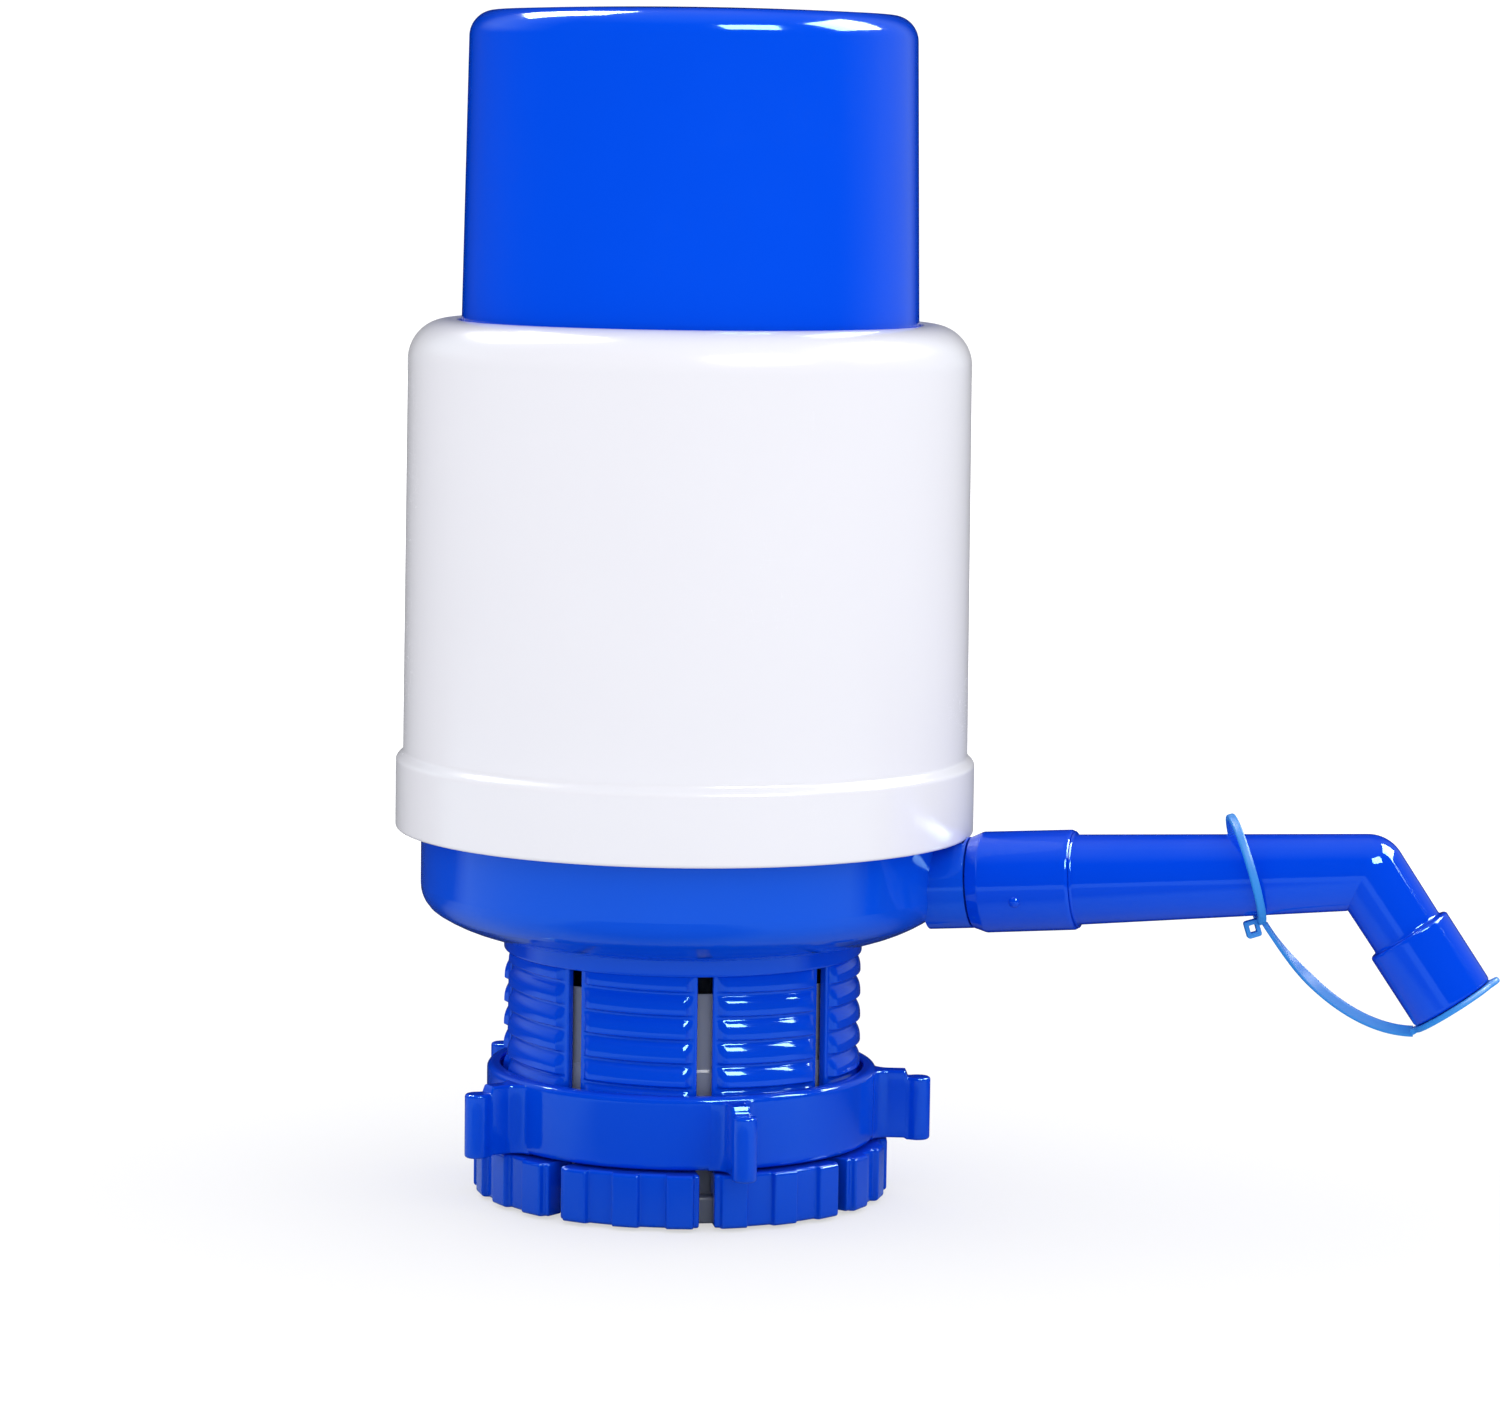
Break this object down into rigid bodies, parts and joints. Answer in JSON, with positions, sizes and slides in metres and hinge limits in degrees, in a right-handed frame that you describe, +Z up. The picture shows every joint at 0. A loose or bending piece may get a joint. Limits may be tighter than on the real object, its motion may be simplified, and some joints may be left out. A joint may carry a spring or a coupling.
{
  "type": "bottle hand pump",
  "caption": "Hand pump that clamps on the neck of a large water bottle, with a tall press cap, a white cover, a swivelling side spout and a dust cap on a strap.",
  "frame": {"origin": "centre of the neck collar's lower end, where the bottle's neck goes in", "axes": "+Z up along the neck's axis towards the press cap, +X along the spout, Y across"},
  "size_m": [0.1926, 0.1006, 0.2053],
  "materials": {
    "cap_blue": "smooth moulded plastic with a soft gloss",
    "bowl_blue": "smooth moulded plastic with a soft gloss",
    "collar_blue": "smooth moulded plastic with a soft gloss",
    "spout_blue": "smooth moulded plastic, slightly translucent",
    "strap_blue": "soft translucent plastic",
    "cover_white": "smooth moulded plastic with a soft gloss",
    "clear_plastic": "milky unpainted plastic",
    "seal_rubber": "smooth food-grade silicone",
    "spring_steel": "drawn stainless wire"
  },
  "bodies": {
    "base": {"base_bowl": "bowl_blue", "neck_collar": "collar_blue", "neck_liner": "clear_plastic", "neck_gasket": "seal_rubber", "tube_connector": "clear_plastic", "connector_seal": "seal_rubber", "outer_cover": "cover_white", "bellows": "clear_plastic", "return_spring": "spring_steel", "bellows_clamp": "clear_plastic", "bellows_seat": "clear_plastic", "outlet_valve": "seal_rubber", "seat_gasket": "seal_rubber", "spout_seal": "seal_rubber"},
    "plunger": {"press_cap": "cap_blue", "bellows_crown": "clear_plastic", "inlet_valve": "seal_rubber"},
    "lock_ring": {"lock_ring": "collar_blue"},
    "spout": {"spout": "spout_blue", "strap_ring": "strap_blue", "cap_strap": "strap_blue"},
    "dust_cap": {"dust_cap": "strap_blue"}
  },
  "joints": [
    {"name": "press_slide", "type": "slide", "parent": "base", "child": "plunger", "axis": [0, 0, -1], "range_m": [0, 0.046], "stiffness_N_per_m": 400, "springref_m": -0.02, "deforming": ["bellows", "return_spring"]},
    {"name": "lock_ring_turn", "type": "hinge", "parent": "base", "child": "lock_ring", "pos_m": [0, 0, 0.0159], "axis": [0, 0, -1], "range_deg": [0, 90]},
    {"name": "spout_swivel", "type": "hinge", "parent": "base", "child": "spout", "pos_m": [0.0517, 0, 0.0565], "axis": [0.9971, 0, 0.0767], "range_deg": [-90, 90]},
    {"name": "dust_cap_pull", "type": "slide", "parent": "spout", "child": "dust_cap", "axis": [0.5664, 0, -0.8241], "range_m": [0, 0.012], "deforming": ["cap_strap"]}
  ]
}
